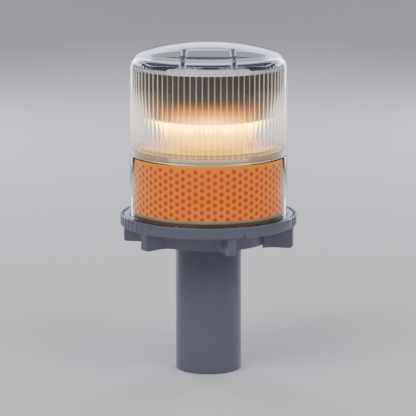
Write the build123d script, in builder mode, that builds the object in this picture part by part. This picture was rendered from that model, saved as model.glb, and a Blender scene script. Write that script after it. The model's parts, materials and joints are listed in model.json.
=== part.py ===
"""A solar warning light that stands on top of a traffic cone.

A clear fluted cover with a shallow dome holds a solar panel, a cone-shaped reflector and a ring of
LEDs round a vase-shaped diffuser. An amber reflector band fills its lower part. The whole head drops
into a grey base and locks with a short twist. Six gussets carry the base on a round hub, and a plastic
tube below the hub plugs into the open top of a cone.

Millimetres, +Z up. The origin is the middle of the stem tube's lower end, and -Y is the front.
"""

from build123d import *
from math import acos, degrees, hypot, sqrt
import os

# ---------------------------------------------------------------- stem and base
STEM_DIAMETER = 40.0  # outside of the tube that plugs into a cone
STEM_WALL = 2.4
STEM_REACH = 79.6  # tube below the hub
HUB_RADIUS = 36.0
HUB_DEPTH = 10.65  # hub below the flange
HUB_SKIN = 2.4  # walls and floor of the cored hub
STEM_SEAT = 1.0  # the tube's end in the hub is this much slimmer, past a 45 degree shoulder
STEM_STOP = 1.8  # lip that the tube butts against
FLANGE_RADIUS = 53.6
FLANGE_PLATE = 2.0
RIM_WALL = 1.3
RIM_EDGE = 0.5
FIN_RADIUS = 52.6
FIN_THICKNESS = 5.1
FIN_BLEND = 6.0  # concave radius between gusset and hub
FIN_CORNER = 0.8
FIN_TOE = 1.8  # rounded lower outer corner of a gusset
DEEP_FIN_DROP = 2.3  # how far two opposite gussets reach below the hub
DEEP_FINS = [-191.5, -13.5]  # directions of the gussets about +Z, from +X
SHALLOW_FINS = [-137.5, -74.5, 42.5, 105.5]
GRIP_CENTRES = [-168.0, 12.0]  # middles of the two finger grips on the rim
GRIP_GROOVES = 13
GRIP_PITCH = 5.2  # degrees from one groove to the next
GRIP_GROOVE_RADIUS = 2.4
GRIP_GROOVE_DEPTH = 0.55
MARK_DIRECTION = -66.7  # small alignment notch in the rim's lower edge
MARK_RADIUS = 0.9
MARK_HEIGHT = 1.6

# ---------------------------------------------------------------- twist lock
HEAD_GAP = 0.2  # between the base's plate and the head
HEAD_SIDE_GAP = 0.6  # between the rim and the head
TWIST = 24.0  # degrees from locked to free
HOOK_DIRECTIONS = [2.0, 122.0, 242.0]
HOOK_RADIUS = 41.0
HOOK_NECK = 2.0
HOOK_TOE = 2.5  # how far the foot reaches out under the plate
HOOK_FOOT = 1.6
HOOK_ARC = 9.0  # degrees
SLOT_GAP = 0.3
SLOT_GAP_ARC = 0.6  # degrees

# ---------------------------------------------------------------- clear cover
COVER_RADIUS = 47.75
COVER_WALL = 1.05  # round the reflector band
COVER_FLANGE = 2.25
COVER_DOME_WALL = 2.2
COVER_STEP = 0.2  # the fluted part is this much slimmer
CROWN_ROOM = 11.75  # from the solar panel's back board to the crown
DOME_RADIUS = 142.0
SHOULDER_RADIUS = 9.4
FLUTES = 80
FLUTE_RADIUS = 2.9
FLUTE_DEPTH = 0.6
FLUTE_START = 4.4  # above the band's recess
FLUTE_RISE = 2.0  # into the shoulder
SCREW_RADIUS = 1.0
SCREW_HOLE_GAP = 0.03
SCREW_BITE = 4.5
COVER_SCREWS = 8
COVER_SCREW_CIRCLE = 49.3
COVER_SCREW_LENGTH = 3.7
SCREW_HEAD_RADIUS = 1.9
SCREW_HEAD_HEIGHT = 1.1
SEAL_GAP = 0.2  # from its groove to the cover's inside
SEAL_WIDTH = 1.2
SEAL_HEIGHT = 1.1

# ---------------------------------------------------------------- amber band and drum
BAND_HEIGHT = 32.4
BAND_WALL = 1.7
BAND_GAP = 0.3  # to the cover
BAND_LIFT = 2.9  # above the rim's top
DRUM_WALL = 1.6
DRUM_GAP = 0.2  # to the band
DECK_RISE = 5.0  # the deck's top, above the band's
DECK_HOLE = 10.0
POST_RADIUS = 3.0
POST_BITE = 0.5  # into the drum's wall
POST_DIRECTIONS = [62.0, 182.0, 302.0]
EAR_X = 37.2  # the two screws on the deck

# ---------------------------------------------------------------- optics
DIFFUSER_TOP_RADIUS = 33.6
DIFFUSER_WAIST_RADIUS = 27.0
DIFFUSER_FOOT_RADIUS = 34.0
DIFFUSER_PLATE_RADIUS = 41.0
DIFFUSER_PLATE = 1.6
DIFFUSER_WALL = 1.7
DIFFUSER_FLARE = 0.28  # how hollow the sweep from the waist to the foot is, 0.5 being straight
DIFFUSER_WAIST = 7.5  # waist above the deck
DIFFUSER_HEIGHT = 18.3
LED_COUNT = 12
LED_RADIUS = 2.5
LED_LENGTH = 4.8
LED_HEIGHT = 13.0  # above the deck
LED_COLUMN_RADIUS = 19.0
LED_COLUMN_WALL = 1.6
LED_COLUMN_HEIGHT = 17.0
LED_STRIP = 0.4
REFLECTOR_WALL = 1.6
REFLECTOR_RISE = 19.7  # height of its cone
REFLECTOR_FOOT_RADIUS = 34.3
REFLECTOR_GAP = 0.2  # to the flutes' crests
SKIRT_HEIGHT = 10.4

# ---------------------------------------------------------------- solar panel
PANEL_X = 79.0
PANEL_Y = 50.0
PANEL_CLIP_X = 5.0  # its long clipped corners
PANEL_CLIP_Y = 17.0
PANEL_THICKNESS = 2.0
TRAY_THICKNESS = 1.6
TRAY_SETBACK = 1.2  # its edge, inside the reflector's
PANEL_GAP = 0.4
CLIP_X = 15.0
CLIP_RADIUS = 1.9
CLIP_HEIGHT = 6.2
CLIP_NOSE = 1.6  # height of the nose that holds the panel's edge down
CLIP_SCREW_HEAD = 1.1
CELL_COLUMNS = 5
CELL_ROWS = 2
CELL_MARGIN = 2.0
CELL_GAP = 0.8
CELL_THICKNESS = 0.3
LEAD_RADIUS = 0.7
LEAD_BEND = 3.0
TRAY_HOLE = 3.0

# ---------------------------------------------------------------- underside plate, cells, board, switch
CHASSIS_PLATE = 2.0
CELL_DIAMETER = 14.2
CELL_LENGTH = 50.0
CELL_SPACE = 0.8  # between the two cells
CELL_NUB = 1.0
HOLDER_WALL = 1.5
CELL_ROOM = 0.3  # round the cells
CONTACT_DEPTH = 1.6
CONTACT_SHEET = 0.5
DOOR_PLATE = 1.3
DOOR_SEAL = 0.5
DOOR_LEDGE = 4.5  # at the door's two screwed ends
DOOR_LIP = 1.5  # along its sides
DOOR_GAP = 0.25
DOOR_FRAME = 1.8
DOOR_CORNER = 3.0
BOARD_GAP = 0.4  # to the drum
BOARD_ROOM = 1.9  # over the battery holder
BOARD_THICKNESS = 1.6
SWITCH_MARGIN = 2.3  # from its middle to the stem's bore
SWITCH_GAP = 0.1  # to the well's frame
SWITCH_BODY = 6.0
SWITCH_HEIGHT = 6.0
SWITCH_BUSH_RADIUS = 2.7
BUTTON_RADIUS = 1.7
BUTTON_GAP = 0.1
BUTTON_COLLAR = 2.2
BUTTON_COLLAR_HEIGHT = 1.0
BUTTON_REACH = 2.5  # below the head
BUTTON_TRAVEL = 1.5


def outwards(direction):
    """A level arrow one long, this many degrees round from +X."""
    return Vector(1, 0).rotate(Axis.Z, direction)


# ---------------------------------------------------------------- places that follow from the sizes
stem_radius = STEM_DIAMETER / 2
seat_radius = stem_radius - STEM_SEAT
hub_bottom = STEM_REACH
flange_bottom = hub_bottom + HUB_DEPTH
plate_top = flange_bottom + FLANGE_PLATE
head_bottom = plate_top + HEAD_GAP
chassis_top = head_bottom + CHASSIS_PLATE
rim_top = chassis_top + COVER_FLANGE
rim_inside = FLANGE_RADIUS - RIM_WALL
head_radius = rim_inside - HEAD_SIDE_GAP
deep_bottom = hub_bottom - DEEP_FIN_DROP
stem_top = plate_top - FLANGE_PLATE / 2

cover_inside = COVER_RADIUS - COVER_WALL
seal_radius = cover_inside + SEAL_GAP + SEAL_WIDTH / 2
band_bottom = rim_top + BAND_LIFT
band_top = band_bottom + BAND_HEIGHT
band_outside = cover_inside - BAND_GAP
band_inside = band_outside - BAND_WALL
drum_radius = band_inside - DRUM_GAP
post_circle = drum_radius - DRUM_WALL + POST_BITE - POST_RADIUS
deck_top = band_top + DECK_RISE
lamp_radius = COVER_RADIUS - COVER_STEP
crest_radius = lamp_radius - COVER_DOME_WALL
recess_top = band_top + BAND_GAP
flute_bottom = recess_top + FLUTE_START

diffuser_top = deck_top + DIFFUSER_HEIGHT
reflector_radius = crest_radius - REFLECTOR_GAP
skirt_bottom = diffuser_top + REFLECTOR_RISE
tray_bottom = skirt_bottom + SKIRT_HEIGHT
tray_top = tray_bottom + TRAY_THICKNESS
tray_radius = reflector_radius - TRAY_SETBACK
panel_top = tray_top + PANEL_THICKNESS

cover_top = panel_top + CROWN_ROOM
dome_centre = cover_top - DOME_RADIUS
shoulder_x = lamp_radius - SHOULDER_RADIUS
shoulder_z = dome_centre + sqrt((DOME_RADIUS - SHOULDER_RADIUS) ** 2 - shoulder_x**2)
shoulder_angle = degrees(acos(shoulder_x / (DOME_RADIUS - SHOULDER_RADIUS)))
flute_top = shoulder_z + FLUTE_RISE

door_top = head_bottom + DOOR_PLATE
ledge_bottom = door_top + DOOR_SEAL
frame_top = chassis_top + DOOR_FRAME
cell_pitch = CELL_DIAMETER + CELL_SPACE
well_x = CELL_LENGTH + 2 * CONTACT_DEPTH
well_y = cell_pitch + CELL_DIAMETER + 2 * CELL_ROOM
holder_x = well_x + 2 * HOLDER_WALL
holder_y = well_y + 2 * HOLDER_WALL
cell_axis = ledge_bottom + CELL_ROOM + CELL_DIAMETER / 2
well_top = cell_axis + CELL_DIAMETER / 2 + CELL_ROOM
door_x = holder_x + 2 * DOOR_LEDGE
door_y = holder_y + 2 * DOOR_LIP
switch_place = STEM_WALL + SWITCH_MARGIN - stem_radius
holder_place = switch_place + SWITCH_BODY / 2 + SWITCH_GAP + DOOR_FRAME + door_y / 2
door_screw_length = frame_top + SCREW_BITE / 2 - head_bottom
strip_radius = LED_COLUMN_RADIUS + LED_STRIP
hook_inner = HOOK_RADIUS - HOOK_NECK / 2
hook_outer = HOOK_RADIUS + HOOK_NECK / 2
slot_inner = hook_inner - SLOT_GAP
slot_outer = hook_outer + SLOT_GAP
slot_half = HOOK_ARC / 2 + SLOT_GAP_ARC
collar_room = BUTTON_COLLAR_HEIGHT + BUTTON_TRAVEL + 2 * BUTTON_GAP
board_bottom = well_top + HOLDER_WALL + BOARD_ROOM
post_height = board_bottom - chassis_top
board_top = board_bottom + BOARD_THICKNESS

screw_hole = SCREW_RADIUS + SCREW_HOLE_GAP
clip_y = PANEL_Y / 2 + PANEL_GAP + CLIP_RADIUS
clip_points = [(x * CLIP_X, y * clip_y) for x in (-1, 1) for y in (-1, 1)]
door_points = [(x * (holder_x + DOOR_LEDGE) / 2, holder_place) for x in (-1, 1)]
ear_points = [(-EAR_X, 0), (EAR_X, 0)]
post_points = [(outwards(a).X * post_circle, outwards(a).Y * post_circle) for a in POST_DIRECTIONS]
rim_points = [
    (outwards(a).X * COVER_SCREW_CIRCLE, outwards(a).Y * COVER_SCREW_CIRCLE)
    for a in [360 / COVER_SCREWS * (i + 0.5) for i in range(COVER_SCREWS)]
]
ON_BASE = (Align.CENTER, Align.CENTER, Align.MIN)
HANGING = (Align.CENTER, Align.CENTER, Align.MAX)


def ring_piece(inner, outer, start, size):
    """A piece of a flat ring between two radii, from start over size degrees."""
    with BuildSketch() as piece:
        with BuildLine():
            outside = CenterArc((0, 0), outer, start, size)
            inside = CenterArc((0, 0), inner, start, size)
            Line(outside @ 0, inside @ 0)
            Line(outside @ 1, inside @ 1)
        make_face()
    return piece.sketch


def star(directions):
    """The hub's disc with a gusset in each direction, blended into it."""
    with BuildSketch() as fins:
        Circle(HUB_RADIUS)
        for direction in directions:
            middle = outwards(direction) * (FIN_RADIUS + HUB_RADIUS / 2) / 2
            with Locations(Location((middle.X, middle.Y), direction)):
                Rectangle(FIN_RADIUS - HUB_RADIUS / 2, FIN_THICKNESS)
        fillet([v for v in fins.vertices() if abs(hypot(v.X, v.Y) - HUB_RADIUS) < FIN_CORNER], FIN_BLEND)
        fillet([v for v in fins.vertices() if hypot(v.X, v.Y) > FIN_RADIUS - FIN_CORNER], FIN_CORNER)
    return fins.sketch


def upright(direction):
    """The upright plane through the axis whose X points outwards in this direction."""
    return Plane((0, 0, 0), x_dir=outwards(direction), z_dir=Vector(0, -1).rotate(Axis.Z, direction))


def spots(points, height):
    """The same points at a height."""
    return [(x, y, height) for x, y in points]


def countersunk_screws(points, length):
    """Flush screws that go up from the head's underside, one at each point."""
    with BuildPart() as screws:
        with Locations(*spots(points, head_bottom)):
            Cone(SCREW_HEAD_RADIUS, SCREW_RADIUS, SCREW_HEAD_HEIGHT, align=ON_BASE)
            Cylinder(SCREW_RADIUS, length, align=ON_BASE)
    return screws


def countersinks(points):
    """Seats for flush screw heads in the head's underside, cut from the part that is open."""
    with Locations(*spots(points, head_bottom)):
        Cone(
            SCREW_HEAD_RADIUS + SCREW_HOLE_GAP,
            screw_hole,
            SCREW_HEAD_HEIGHT,
            align=ON_BASE,
            mode=Mode.SUBTRACT,
        )


def panel_outline(margin):
    """The solar panel's long octagon, grown all round by a margin."""
    with BuildSketch() as outline:
        with BuildLine():
            Polyline(
                (PANEL_X / 2, 0),
                (PANEL_X / 2, PANEL_Y / 2 - PANEL_CLIP_Y),
                (PANEL_X / 2 - PANEL_CLIP_X, PANEL_Y / 2),
                (0, PANEL_Y / 2),
            )
            mirror(about=Plane.YZ)
            mirror(about=Plane.XZ)
        make_face()
        if margin:
            offset(amount=margin, kind=Kind.INTERSECTION)
    return outline.sketch


def door_outline():
    """The battery door's rounded rectangle, a gap smaller than its recess."""
    with BuildSketch() as outline:
        with Locations((0, holder_place)):
            RectangleRounded(door_x - 2 * DOOR_GAP, door_y - 2 * DOOR_GAP, DOOR_CORNER)
    return outline.sketch


# ================================================================ base
with BuildPart() as base_housing:
    # hub and its six gussets, and the two deep gussets' lower ends
    with BuildSketch(Plane.XY.offset(hub_bottom)):
        add(star(SHALLOW_FINS + DEEP_FINS))
    extrude(amount=flange_bottom - hub_bottom)
    with BuildSketch(Plane.XY.offset(deep_bottom)):
        add(star(DEEP_FINS))
        Circle(HUB_RADIUS, mode=Mode.SUBTRACT)
    extrude(amount=DEEP_FIN_DROP)
    with BuildSketch(Plane.XY.offset(flange_bottom)):
        Circle(FLANGE_RADIUS)
    extrude(amount=rim_top - flange_bottom)
    chamfer(base_housing.edges().filter_by(GeomType.CIRCLE).group_by(SortBy.RADIUS)[-1], RIM_EDGE)
    # recess for the head
    with BuildSketch(Plane.XY.offset(plate_top)):
        Circle(rim_inside)
    extrude(amount=rim_top - plate_top, mode=Mode.SUBTRACT)
    # cored hub, open upwards, with the stem's socket and its stop in the middle
    with BuildSketch(Plane.XY.offset(hub_bottom + HUB_SKIN)):
        Circle(HUB_RADIUS - HUB_SKIN)
        Circle(stem_radius + HUB_SKIN, mode=Mode.SUBTRACT)
    extrude(amount=plate_top - hub_bottom - HUB_SKIN, mode=Mode.SUBTRACT)
    with BuildSketch(Plane.XY.offset(hub_bottom)):
        Circle(seat_radius)
    extrude(amount=stem_top - hub_bottom, mode=Mode.SUBTRACT)
    with Locations((0, 0, hub_bottom)):
        Cone(stem_radius, seat_radius, STEM_SEAT, align=ON_BASE, mode=Mode.SUBTRACT)
    with BuildSketch(Plane.XY.offset(hub_bottom)):
        Circle(stem_radius - STEM_STOP)
    extrude(amount=plate_top - hub_bottom, mode=Mode.SUBTRACT)
    # rounded toes at the gussets' lower outer corners
    for directions, level in ((SHALLOW_FINS, hub_bottom), (DEEP_FINS, deep_bottom)):
        for direction in directions:
            with BuildSketch(upright(direction)):
                with Locations((FIN_RADIUS, level)):
                    Rectangle(2 * FIN_TOE, 2 * FIN_TOE)
                with Locations((FIN_RADIUS - FIN_TOE, level + FIN_TOE)):
                    Circle(FIN_TOE, mode=Mode.SUBTRACT)
            extrude(amount=FIN_THICKNESS, both=True, mode=Mode.SUBTRACT)
    # finger grips: two rows of shallow upright grooves on the rim
    groove_centre = FLANGE_RADIUS - GRIP_GROOVE_DEPTH + GRIP_GROOVE_RADIUS
    with BuildSketch(Plane.XY.offset(flange_bottom)):
        for centre in GRIP_CENTRES:
            for i in range(GRIP_GROOVES):
                place = outwards(centre + (i - (GRIP_GROOVES - 1) / 2) * GRIP_PITCH) * groove_centre
                with Locations((place.X, place.Y)):
                    Circle(GRIP_GROOVE_RADIUS)
    extrude(amount=rim_top - flange_bottom, mode=Mode.SUBTRACT)
    # keyhole slots that the head's hooks drop into
    with BuildSketch(Plane.XY.offset(flange_bottom)):
        for direction in HOOK_DIRECTIONS:
            add(ring_piece(slot_inner, slot_outer, direction - slot_half, TWIST + 2 * slot_half))
            add(ring_piece(slot_inner, slot_outer + HOOK_TOE, direction + TWIST - slot_half, 2 * slot_half))
    extrude(amount=FLANGE_PLATE, mode=Mode.SUBTRACT)
    # alignment notch
    mark = outwards(MARK_DIRECTION) * FLANGE_RADIUS
    with BuildSketch(Plane.XY.offset(flange_bottom)):
        with Locations((mark.X, mark.Y)):
            Circle(MARK_RADIUS)
    extrude(amount=MARK_HEIGHT, mode=Mode.SUBTRACT)

with BuildPart() as stem_tube:
    with BuildSketch():
        Circle(stem_radius)
    extrude(amount=hub_bottom)
    with Locations((0, 0, hub_bottom)):
        Cone(stem_radius, seat_radius, STEM_SEAT, align=ON_BASE)
    with BuildSketch():
        Circle(seat_radius)
    extrude(amount=stem_top)
    with BuildSketch():
        Circle(stem_radius - STEM_WALL)
    extrude(amount=stem_top, mode=Mode.SUBTRACT)
    fillet(stem_tube.faces().sort_by(Axis.Z)[0].edges().sort_by(SortBy.RADIUS)[-1], STEM_WALL / 3)

# ================================================================ head: plate, cover, seals
with BuildPart() as chassis_plate:
    with BuildSketch(Plane.XY.offset(head_bottom)):
        Circle(head_radius)
    extrude(amount=CHASSIS_PLATE)
    # raised frame round the door's recess, and the well that the cells go up through
    with BuildSketch(Plane.XY.offset(chassis_top)):
        with Locations((0, holder_place)):
            RectangleRounded(door_x + 2 * DOOR_FRAME, door_y + 2 * DOOR_FRAME, DOOR_CORNER + DOOR_FRAME)
    extrude(amount=DOOR_FRAME)
    with BuildSketch(Plane.XY.offset(head_bottom)):
        with Locations((0, holder_place)):
            RectangleRounded(door_x, door_y, DOOR_CORNER)
    extrude(amount=ledge_bottom - head_bottom, mode=Mode.SUBTRACT)
    with BuildSketch(Plane.XY.offset(head_bottom)):
        with Locations((0, holder_place)):
            Rectangle(well_x, well_y)
    extrude(amount=frame_top - head_bottom, mode=Mode.SUBTRACT)
    # pads that the door's screws bite into
    with BuildSketch(Plane.XY.offset(frame_top)):
        with Locations(*door_points):
            Circle(2 * SCREW_RADIUS)
    extrude(amount=SCREW_BITE)
    with BuildSketch(Plane.XY.offset(head_bottom)):
        with Locations(*door_points, *rim_points, *post_points):
            Circle(screw_hole)
    extrude(amount=door_screw_length, mode=Mode.SUBTRACT)
    with BuildSketch(Plane.XY.offset(head_bottom)):
        with Locations((0, switch_place)):
            Circle(SWITCH_BUSH_RADIUS)
    extrude(amount=CHASSIS_PLATE, mode=Mode.SUBTRACT)
    countersinks(rim_points + post_points)
    # groove for the cover's seal
    with BuildSketch(Plane.XY.offset(chassis_top)):
        Circle(seal_radius + SEAL_WIDTH / 2)
        Circle(seal_radius - SEAL_WIDTH / 2, mode=Mode.SUBTRACT)
    extrude(amount=-SEAL_HEIGHT, mode=Mode.SUBTRACT)
    # twist-lock hooks: a neck through the base's slot and a foot under its plate
    foot_top = flange_bottom - HEAD_GAP
    with BuildSketch(Plane.XY.offset(foot_top)):
        for direction in HOOK_DIRECTIONS:
            add(ring_piece(hook_inner, hook_outer, direction - HOOK_ARC / 2, HOOK_ARC))
    extrude(amount=head_bottom - foot_top)
    with BuildSketch(Plane.XY.offset(foot_top)):
        for direction in HOOK_DIRECTIONS:
            add(ring_piece(hook_inner, hook_outer + HOOK_TOE, direction - HOOK_ARC / 2, HOOK_ARC))
    extrude(amount=-HOOK_FOOT)

with BuildPart() as lens_cover:
    with BuildSketch(Plane.XZ):
        with BuildLine():
            shoulder = CenterArc((shoulder_x, shoulder_z), SHOULDER_RADIUS, 0, shoulder_angle)
            dome = CenterArc((0, dome_centre), DOME_RADIUS, shoulder_angle, 90 - shoulder_angle)
            inner_shoulder = CenterArc(
                (shoulder_x, shoulder_z), SHOULDER_RADIUS - COVER_DOME_WALL, 0, shoulder_angle
            )
            inner_dome = CenterArc(
                (0, dome_centre), DOME_RADIUS - COVER_DOME_WALL, shoulder_angle, 90 - shoulder_angle
            )
            Line(dome @ 1, inner_dome @ 1)
            Polyline(
                inner_shoulder @ 0,
                (crest_radius, recess_top + cover_inside - crest_radius),
                (cover_inside, recess_top),
                (cover_inside, chassis_top),
                (head_radius, chassis_top),
                (head_radius, rim_top),
                (COVER_RADIUS, rim_top),
                (COVER_RADIUS, recess_top),
                (lamp_radius, recess_top + COVER_STEP),
                shoulder @ 0,
            )
        make_face()
    revolve(axis=Axis.Z)
    # upright flutes in the inner wall
    with BuildSketch(Plane.XY.offset(flute_bottom)):
        with PolarLocations(crest_radius + FLUTE_DEPTH - FLUTE_RADIUS, FLUTES):
            Circle(FLUTE_RADIUS)
    extrude(amount=flute_top - flute_bottom, mode=Mode.SUBTRACT)
    with BuildSketch(Plane.XY.offset(chassis_top)):
        with Locations(*rim_points):
            Circle(screw_hole)
    extrude(amount=COVER_SCREW_LENGTH - CHASSIS_PLATE, mode=Mode.SUBTRACT)

with BuildPart() as cover_seal:
    with BuildSketch(Plane.XY.offset(chassis_top - SEAL_HEIGHT)):
        Circle(seal_radius + SEAL_WIDTH / 2)
        Circle(seal_radius - SEAL_WIDTH / 2, mode=Mode.SUBTRACT)
    extrude(amount=SEAL_HEIGHT)

with BuildPart() as reflector_band:
    with BuildSketch(Plane.XY.offset(band_bottom)):
        Circle(band_outside)
        Circle(band_inside, mode=Mode.SUBTRACT)
    extrude(amount=BAND_HEIGHT)

with BuildPart() as inner_drum:
    with BuildSketch(Plane.XY.offset(chassis_top)):
        Circle(drum_radius)
        Circle(drum_radius - DRUM_WALL, mode=Mode.SUBTRACT)
    extrude(amount=deck_top - chassis_top)
    with BuildSketch(Plane.XY.offset(deck_top)):
        Circle(drum_radius)
        Circle(DECK_HOLE, mode=Mode.SUBTRACT)
    extrude(amount=-DRUM_WALL)
    # step that the band stands on
    with BuildSketch(Plane.XY.offset(band_bottom)):
        Circle(band_outside)
        Circle(drum_radius - DRUM_WALL / 2, mode=Mode.SUBTRACT)
    extrude(amount=-BAND_LIFT / 2)
    # posts that hold the board up and take the plate's screws
    with BuildSketch(Plane.XY.offset(chassis_top)):
        with Locations(*post_points):
            Circle(POST_RADIUS)
        with Locations(*post_points):
            Circle(screw_hole, mode=Mode.SUBTRACT)
        Circle(drum_radius - DRUM_WALL / 2, mode=Mode.INTERSECT)
    extrude(amount=post_height)
    # bosses under the deck for the diffuser's screws
    with BuildSketch(Plane.XY.offset(deck_top - DRUM_WALL)):
        with Locations(*ear_points):
            Circle(2 * SCREW_RADIUS)
    extrude(amount=-SCREW_BITE)
    with BuildSketch(Plane.XY.offset(deck_top)):
        with Locations(*ear_points):
            Circle(screw_hole)
    extrude(amount=-SCREW_BITE, mode=Mode.SUBTRACT)

# ================================================================ head: optics
with BuildPart() as inner_diffuser:
    waist_height = deck_top + DIFFUSER_WAIST
    plate_height = deck_top + DIFFUSER_PLATE
    with BuildSketch(Plane.XZ):
        with BuildLine():
            flare = ThreePointArc(
                (DIFFUSER_WAIST_RADIUS, waist_height),
                (
                    DIFFUSER_WAIST_RADIUS + DIFFUSER_FLARE * (DIFFUSER_FOOT_RADIUS - DIFFUSER_WAIST_RADIUS),
                    plate_height + DIFFUSER_FLARE * (waist_height - plate_height),
                ),
                (DIFFUSER_FOOT_RADIUS, plate_height),
            )
            Polyline(
                flare @ 1,
                (DIFFUSER_PLATE_RADIUS, plate_height),
                (DIFFUSER_PLATE_RADIUS, deck_top),
                (DIFFUSER_WAIST_RADIUS - DIFFUSER_WALL, deck_top),
                (DIFFUSER_WAIST_RADIUS - DIFFUSER_WALL, waist_height),
                (DIFFUSER_TOP_RADIUS - DIFFUSER_WALL, diffuser_top),
                (DIFFUSER_TOP_RADIUS, diffuser_top),
                flare @ 0,
            )
        make_face()
    revolve(axis=Axis.Z)
    with BuildSketch(Plane.XY.offset(deck_top)):
        with Locations(*ear_points):
            Circle(screw_hole)
    extrude(amount=DIFFUSER_PLATE, mode=Mode.SUBTRACT)

with BuildPart() as led_column:
    with BuildSketch(Plane.XY.offset(deck_top)):
        Circle(LED_COLUMN_RADIUS)
        Circle(LED_COLUMN_RADIUS - LED_COLUMN_WALL, mode=Mode.SUBTRACT)
    extrude(amount=LED_COLUMN_HEIGHT)
    with BuildSketch(Plane.XY.offset(deck_top + LED_COLUMN_HEIGHT)):
        Circle(LED_COLUMN_RADIUS)
        Circle(DECK_HOLE / 2, mode=Mode.SUBTRACT)
    extrude(amount=-LED_COLUMN_WALL)

with BuildPart() as led_strip:
    with BuildSketch(Plane.XY.offset(deck_top + LED_HEIGHT - 2 * LED_RADIUS)):
        Circle(strip_radius)
        Circle(LED_COLUMN_RADIUS, mode=Mode.SUBTRACT)
    extrude(amount=4 * LED_RADIUS)

with BuildPart() as leds:
    led_height = deck_top + LED_HEIGHT
    led_neck = strip_radius + LED_LENGTH - LED_RADIUS
    for i in range(LED_COUNT):
        direction = 360 / LED_COUNT * i
        with BuildSketch(upright(direction)):
            with BuildLine():
                Polyline(
                    (led_neck, led_height + LED_RADIUS),
                    (strip_radius, led_height + LED_RADIUS),
                    (strip_radius, led_height),
                    (led_neck + LED_RADIUS, led_height),
                )
                CenterArc((led_neck, led_height), LED_RADIUS, 0, 90)
            make_face()
        revolve(axis=Axis((0, 0, led_height), outwards(direction)))

with BuildPart() as cone_reflector:
    with BuildSketch(Plane.XZ):
        with BuildLine():
            Polyline(
                (DECK_HOLE, diffuser_top),
                (REFLECTOR_FOOT_RADIUS, diffuser_top),
                (reflector_radius, skirt_bottom),
                (reflector_radius, tray_bottom),
                (reflector_radius - REFLECTOR_WALL, tray_bottom),
                (reflector_radius - REFLECTOR_WALL, skirt_bottom + REFLECTOR_WALL / 2),
                (REFLECTOR_FOOT_RADIUS - REFLECTOR_WALL, diffuser_top + REFLECTOR_WALL),
                (DECK_HOLE, diffuser_top + REFLECTOR_WALL),
                close=True,
            )
        make_face()
    revolve(axis=Axis.Z)

# ================================================================ head: solar panel on its tray
with BuildPart() as panel_tray:
    with BuildSketch(Plane.XY.offset(tray_bottom)):
        Circle(tray_radius)
        Circle(TRAY_HOLE, mode=Mode.SUBTRACT)
        with Locations(*clip_points):
            Circle(screw_hole, mode=Mode.SUBTRACT)
    extrude(amount=TRAY_THICKNESS)

with BuildPart() as panel_clips:
    # clear posts that stand beside the panel, each with a nose over its edge
    with BuildSketch(Plane.XY.offset(tray_top)):
        with Locations(*clip_points):
            Circle(CLIP_RADIUS)
    extrude(amount=CLIP_HEIGHT)
    with BuildSketch(Plane.XY.offset(panel_top)):
        for x, y in clip_points:
            with Locations((x, y * (1 - CLIP_RADIUS / clip_y))):
                Rectangle(2 * CLIP_RADIUS, 2 * CLIP_RADIUS)
    extrude(amount=CLIP_NOSE)
    with BuildSketch(Plane.XY.offset(tray_top)):
        with Locations(*clip_points):
            Circle(screw_hole)
    extrude(amount=CLIP_HEIGHT, mode=Mode.SUBTRACT)

with BuildPart() as solar_panel:
    with BuildSketch(Plane.XY.offset(tray_top)):
        add(panel_outline(0))
    extrude(amount=PANEL_THICKNESS)

with BuildPart() as solar_cells:
    cell_pitch_x = (PANEL_X - 2 * PANEL_CLIP_X - 2 * CELL_MARGIN) / CELL_COLUMNS
    cell_pitch_y = (PANEL_Y - 2 * CELL_MARGIN) / CELL_ROWS
    with BuildSketch(Plane.XY.offset(panel_top)):
        with GridLocations(cell_pitch_x, cell_pitch_y, CELL_COLUMNS, CELL_ROWS):
            Rectangle(cell_pitch_x - CELL_GAP, cell_pitch_y - CELL_GAP)
    extrude(amount=CELL_THICKNESS)

# ================================================================ head: battery and its door
with BuildPart() as battery_holder:
    with BuildSketch(Plane.XY.offset(frame_top)):
        with Locations((0, holder_place)):
            Rectangle(holder_x, holder_y)
    extrude(amount=well_top + HOLDER_WALL - frame_top)
    with BuildSketch(Plane.XY.offset(frame_top)):
        with Locations((0, holder_place)):
            Rectangle(well_x, well_y)
    extrude(amount=well_top - frame_top, mode=Mode.SUBTRACT)

with BuildPart() as battery_cells:
    for side in (-1, 1):
        can_middle = (0, holder_place + side * cell_pitch / 2, cell_axis)
        with BuildSketch(Plane(can_middle, z_dir=(side, 0, 0))) as can:
            Circle(CELL_DIAMETER / 2)
        extrude(can.sketch, amount=(CELL_LENGTH - 2 * CELL_NUB) / 2, both=True)
        extrude(can.sketch, amount=CELL_LENGTH / 2)

with BuildPart() as battery_contacts:
    for side in (-1, 1):
        with Locations((side * (well_x - CONTACT_SHEET) / 2, holder_place, cell_axis)):
            Box(CONTACT_SHEET, cell_pitch + CELL_DIAMETER / 2, CELL_DIAMETER / 2)

with BuildPart() as battery_door:
    with BuildSketch(Plane.XY.offset(head_bottom)):
        add(door_outline())
        with Locations(*door_points):
            Circle(screw_hole, mode=Mode.SUBTRACT)
    extrude(amount=DOOR_PLATE)
    countersinks(door_points)

with BuildPart() as door_seal:
    with BuildSketch(Plane.XY.offset(door_top)):
        add(door_outline())
        with Locations((0, holder_place)):
            Rectangle(well_x, well_y, mode=Mode.SUBTRACT)
        with Locations(*door_points):
            Circle(screw_hole, mode=Mode.SUBTRACT)
    extrude(amount=DOOR_SEAL)

# ================================================================ head: board and switch
with BuildPart() as control_board:
    with BuildSketch(Plane.XY.offset(board_bottom)):
        Circle(drum_radius - DRUM_WALL - BOARD_GAP)
        with Locations(*post_points):
            Circle(screw_hole, mode=Mode.SUBTRACT)
    extrude(amount=BOARD_THICKNESS)

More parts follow.
